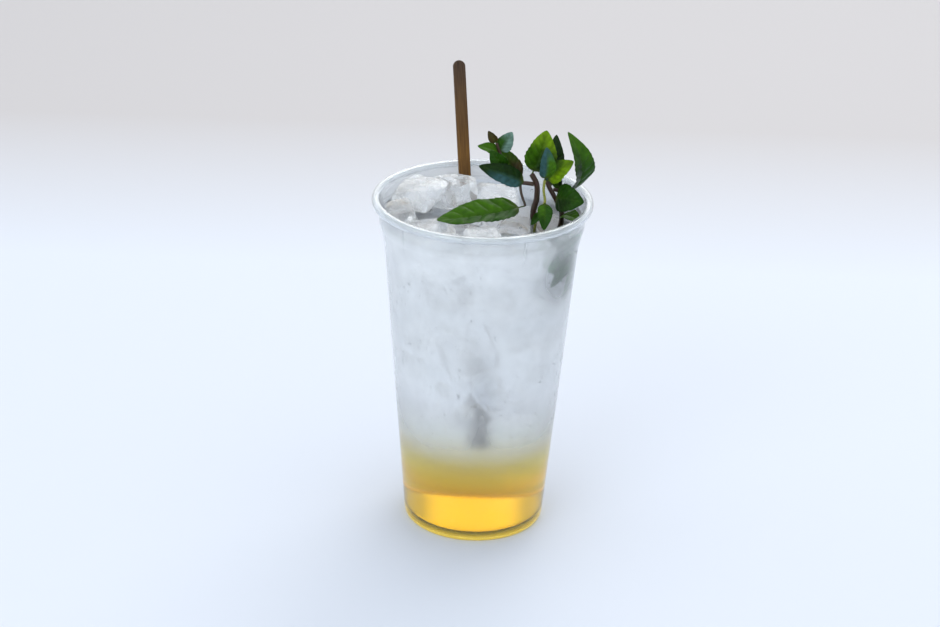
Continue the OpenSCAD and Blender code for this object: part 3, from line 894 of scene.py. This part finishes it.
def make_leaf(name, base, tip, face, w, bow, left, right, far, teeth, mat, seed):
    base, tip, face = (np.array(q, float) for q in (base, tip, face))
    long = np.linalg.norm(tip - base)
    along = unit(tip - base)
    up = unit(face - (face @ along) * along)
    side = np.cross(up, along)
    rows, cols = max(40, int(long * 2.6)), 36
    s = np.linspace(0, 1, rows + 1)
    j = np.linspace(-1, 1, cols + 1)
    t = np.sign(j) * (1 - (1 - np.abs(j)) ** 1.25)
    S, T = np.meshgrid(s, t, indexing="ij")
    half = leaf_half(S, w)
    size = w / 14.0
    blade = np.clip((S - STALK_SHARE) / (1 - STALK_SHARE), 0, 1)
    body = np.clip((half - STALK_W / 2) / (w / 2), 0, 1)
    # teeth along the edge, pointing to the tip
    ph = blade * teeth + 0.15 * np.sin(seed * 5 + blade * 9) + 0.35 * (T > 0)
    f = ph - np.floor(ph)
    tooth = np.where(f < 0.72, f / 0.72, (1 - f) / 0.28)
    amp = np.minimum(0.075, 0.55 / np.maximum(half, 0.3)) * body
    spread = T * (1 - amp * (1 - tooth) * np.abs(T) ** 5)
    x = half * spread
    # side veins run out and forwards; the blade puffs up between them
    veins = 6.0
    q = blade - 0.30 * np.abs(T) ** 1.25 * (w / long) * 1.2
    vf = q * veins + 0.35 * (T > 0)
    dv = np.abs(vf - np.round(vf)) / veins * long
    groove = np.exp(-(dv / (0.42 * size + 0.12)) ** 2)
    puff = np.abs(np.sin(np.pi * vf)) ** 0.8
    mid = np.exp(-(x / (0.5 * size + 0.15)) ** 2)
    inner = (1 - np.abs(T) ** 6) * body
    rise = 4 * bow * S * (1 - S) + LEAF_FOLD * half * np.abs(T) * np.sin(np.pi * S)
    rise += size * inner * (0.38 * puff - 0.22 * groove) * (1 - 0.6 * mid) - 0.3 * size * mid * body
    pts = base + along * (long * S)[..., None] + side * x[..., None] + up * rise[..., None]
    flat = pts.reshape(-1, 3)
    wide = rough(flat, 7.0, seed).reshape(S.shape)
    small = rough(flat, 1.7, seed + 2).reshape(S.shape)
    wave = size * (0.9 * wide * np.abs(T) ** 1.3 + 0.1 * small) * body
    edge = size * 0.45 * np.abs(T) ** 4 * np.sin(2 * np.pi * blade * 2.3 + seed) * body
    pts = pts + up * (wave + edge)[..., None]
    thick = (LEAF_T + (LEAF_EDGE_T - LEAF_T) * np.abs(T)) / 2
    upper = (pts + up * thick[..., None]).reshape(-1, 3)
    lower = (pts - up * (thick + 0.10 * size * (mid + 0.4 * groove) * body)[..., None]).reshape(-1, 3)
    m = cols + 1
    n = (rows + 1) * m
    faces = []
    for i in range(rows):
        for k in range(cols):
            c = i * m + k
            faces.append([c, c + 1, c + m + 1, c + m])
            faces.append([n + c, n + c + m, n + c + m + 1, n + c + 1])
    rim = grid_rim(rows, cols)
    for a, b in zip(rim, rim[1:] + rim[:1]):
        faces.append([b, a, n + a, n + b])
    ob = new_object(name, np.concatenate([upper, lower]), faces, mat)
    # colour: halves and far end (partly painted shade, painted light through the leaf and painted sky sheen),
    # pale veins, and painted shade in the hollows, which stay darker than the raised blisters
    L, R, F = (np.array(c) for c in (left, right, far))
    k = np.clip(0.5 + T * 2.2, 0, 1)[..., None]
    col = L * (1 - k) + R * k
    e = np.clip((blade - 0.45) / 0.4 + 0.5 * wide, 0, 1)[..., None]
    col = col * (1 - e) + F * e
    # the small noise varies the tone; the puff term is painted shade, leaving the blisters between the veins
    # lighter than the hollows
    col = col * (1 + 0.35 * small + 0.25 * puff * inner)[..., None]
    pale = np.array([0.06, 0.13, 0.012])
    v = (0.3 * mid + 0.14 * groove * (1 - np.abs(T) ** 3))[..., None] * np.clip(body + 0.3, 0, 1)[..., None]
    col = col * (1 - v) + (col * 0.4 + pale * 0.6) * v
    stalk = np.clip(1 - blade * 9, 0, 1)[..., None]
    col = col * (1 - stalk) + np.array([0.05, 0.07, 0.015]) * stalk
    under = col * 0.8 + np.array([0.016, 0.04, 0.014]) * 0.6
    paint(ob, "tint", np.clip(np.concatenate([col.reshape(-1, 3), under.reshape(-1, 3)]), 0.002, 1))
    return ob


def make_mint(mat, stem_mat):
    make_stems(stem_mat)
    for i, (stem, at, tip, *look) in enumerate(LEAVES):
        base = MINT_FOOT + STEMS[stem][2][at]
        ob = make_leaf(f"mint_sprig_leaf_{i + 1}", base, MINT_FOOT + tip, *look, mat, i * 1.3 + 0.4)
        finish_piece(ob, "mint_leaf", f"mint_leaf_{i + 1}")
    up = np.array([0, 0, LEVEL])
    for i, (base, tip, *look) in enumerate(SUNK_LEAVES):
        ob = make_leaf(f"mint_sunk_leaf_{i + 1}", up + base, up + tip, *look, mat, i * 2.1 + 40)
        finish_piece(ob, "mint_leaf")


# ---------------------------------------------------------------- bubbles
def make_bubbles(mat):
    rng = np.random.default_rng(5)
    bm = bmesh.new()
    bmesh.ops.create_icosphere(bm, subdivisions=2, radius=1.0)
    ball = np.array([v.co[:] for v in bm.verts])
    faces = [[v.index for v in f.verts] for f in bm.faces]
    bm.free()
    parts = []

    def add(x, y, z, r):
        parts.append((ball * r + [x, y, z], faces))

    for _ in range(WALL_BUBBLES):  # on the inner wall
        z = rng.uniform(44, LEVEL - 1) if rng.random() < 0.8 else rng.uniform(8, 44)
        r = float(np.clip(rng.lognormal(-1.25, 0.4), 0.14, 0.75))
        a = rng.uniform(0, 2 * math.pi)
        d = inner_r(z) - r - 0.16
        add(d * math.cos(a), d * math.sin(a), z, r)
    for _ in range(RISING_BUBBLES):  # rising through the drink
        z = rng.uniform(30, LEVEL - 3)
        r = float(np.clip(rng.lognormal(-1.3, 0.4), 0.14, 0.7))
        a, d = rng.uniform(0, 2 * math.pi), (inner_r(z) - 3) * math.sqrt(rng.random())
        add(d * math.cos(a), d * math.sin(a), z, r)
    for _ in range(SURFACE_BUBBLES):  # at the surface, most by the wall
        r = float(np.clip(rng.lognormal(-0.9, 0.4), 0.2, 0.95))
        a = rng.uniform(0, 2 * math.pi)
        if rng.random() < 0.7:
            d = inner_r(LEVEL) - r - 0.3 - abs(rng.normal(0, 1.6))
        else:
            d = (inner_r(LEVEL) - 3) * math.sqrt(rng.random())
        add(d * math.cos(a), d * math.sin(a), LEVEL + r * 0.05, r)
    ob = join_meshes("bubbles", parts, mat)
    finish_piece(ob, "soda")


def make_condensation(mat):
    """Water beads on the outside of the wall, in drifts, with a few that have run down."""
    rng = np.random.default_rng(23)
    v, faces = rounded_block([2, 2, 2], 0.99, 3)
    parts = []
    while len(parts) < BEADS:
        z, a = rng.uniform(46, 139), rng.uniform(0, 2 * math.pi)
        if noise.noise(Vector((3 * math.cos(a), 3 * math.sin(a), z / 16))) + 0.25 * rng.normal() < 0.12:
            continue
        r = float(np.clip(rng.lognormal(-1.45, 0.45), 0.1, 0.75))
        run = rng.uniform(1.5, 5) if rng.random() < 0.03 else rng.uniform(0.9, 1.3)
        d = outer_r(z)
        flat = np.array([0.42, 1.0, run]) * r
        p = v * flat + [d, 0, z]
        c, s = math.cos(a), math.sin(a)
        parts.append((np.c_[p[:, 0] * c - p[:, 1] * s, p[:, 0] * s + p[:, 1] * c, p[:, 2]], faces))
    ob = join_meshes("condensation", parts, mat)
    finish_piece(ob, "soda")


# ---------------------------------------------------------------- build
ice = make_ice(ice_material())
make_drink(drink_material(), ice)
syrup, thin_syrup = (0.995, 0.86, 0.02), (0.98, 0.84, 0.02)
make_syrup("syrup_layer", syrup_material("syrup", 44.0, syrup), SYRUP_H - 6, 0.25, "syrup")
make_syrup("syrup_blend", syrup_material("syrup_thin", 17.0, thin_syrup), SYRUP_H + 1.5, 0.4, "syrup")
frost = frost_material()
make_sunk_ice(sunk_ice_material(), frost)
make_cracks(ice, frost)
make_cup(cup_material())
make_stirrer(wood_material())
make_mint(leaf_material(), stem_material())
water = bubble_material()
make_bubbles(water)
make_condensation(water)


# ---------------------------------------------------------------- floor, light, camera
FLOOR_R, FLOOR_CORNERS = 6000, 24
FLOOR_SHADE_FADE = (0.28, 0.52)  # metres behind the cup, where the floor turns warmer and darker: painted shade of a less lit background
WINDOW_UP = 26  # the studio is brighter behind the cup, this many degrees above the horizon
SKY, WINDOW_WHITE, SKY_POWER, WINDOW_POWER = (0.91, 0.955, 1.0), (1.0, 1.0, 1.0), 0.93, 0.75
CAM_DOWN, CAM_ROLL, CAM_LENS, CAM_SENSOR = 24.22, 1.70, 87.6, 36.0
CAM_AIM = (-0.00398, 0, 0.0966)  # metres; the camera is one metre from it


def make_stage():
    m, t, s = material("floor")
    far = share_along(t, own_place(t), "Y", *FLOOR_SHADE_FADE)
    # painted shade: the far floor is a darker warm grey, as if less light reached it
    t.links.new(mixed(t, far, (0.75, 0.79, 0.875), (0.60, 0.575, 0.58)), s.inputs["Base Color"])
    put(s, Roughness=0.7)
    turns = [2 * math.pi * k / FLOOR_CORNERS for k in range(FLOOR_CORNERS)]
    v = [[FLOOR_R * math.cos(a), FLOOR_R * math.sin(a), 0] for a in turns]
    floor = new_object("floor", v, [list(range(FLOOR_CORNERS))], m, smooth=False)


def area_light(name, place, target, size, power, color):
    d = bpy.data.lights.new(name, "AREA")
    d.shape = "DISK"
    d.size, d.energy, d.color = size, power, color
    ob = bpy.data.objects.new(name, d)
    ob.location = place
    ob.rotation_euler = (Vector(target) - Vector(place)).to_track_quat("-Z", "Y").to_euler()
    scene.collection.objects.link(ob)


def make_world():
    world = bpy.data.worlds.new("studio")
    world.use_nodes = True
    t = world.node_tree
    bg = t.nodes["Background"]
    facing = node(t, "ShaderNodeVectorMath", operation="DOT_PRODUCT")
    t.links.new(node(t, "ShaderNodeTexCoord").outputs["Generated"], facing.inputs[0])
    tilt = math.radians(WINDOW_UP)
    facing.inputs[1].default_value = (0.0, math.cos(tilt), math.sin(tilt))
    window = ramp(t, facing.outputs["Value"], [(0.89, 0.0), (0.965, 1.0)])
    t.links.new(mixed(t, window, SKY, WINDOW_WHITE), bg.inputs[0])
    power = value(t, "ADD", SKY_POWER, value(t, "MULTIPLY", window, WINDOW_POWER))
    t.links.new(power, bg.inputs[1])
    scene.world = world


def make_camera():
    down, roll = math.radians(CAM_DOWN), math.radians(CAM_ROLL)
    fwd = Vector((0, math.cos(down), -math.sin(down)))
    level = Vector((1, 0, 0))
    rise = level.cross(fwd)
    right = math.cos(roll) * level + math.sin(roll) * rise
    up = -math.sin(roll) * level + math.cos(roll) * rise
    cam = bpy.data.objects.new("camera", bpy.data.cameras.new("camera"))
    cam.data.lens, cam.data.sensor_width = CAM_LENS, CAM_SENSOR
    cam.data.clip_start, cam.data.clip_end = 0.05, 50
    rows = [(*axes, place) for *axes, place in zip(right, up, -fwd, Vector(CAM_AIM) - fwd)]
    cam.matrix_world = Matrix((*rows, (0, 0, 0, 1)))
    scene.collection.objects.link(cam)
    scene.camera = cam


make_stage()
make_world()
area_light("key", (0.5, 0.9, 1.3), (0, 0, 0.08), 0.9, 5, (1.0, 0.98, 0.95))
area_light("fill", (-0.9, -1.3, 0.9), (0, 0, 0.08), 1.2, 6.0, (0.88, 0.95, 1.0))
make_camera()
scene.view_settings.view_transform = "Standard"
scene.cycles.use_denoising = True
scene.cycles.max_bounces = 32
scene.cycles.transmission_bounces = 32
scene.cycles.transparent_max_bounces = 32
scene.cycles.sample_clamp_indirect = 6
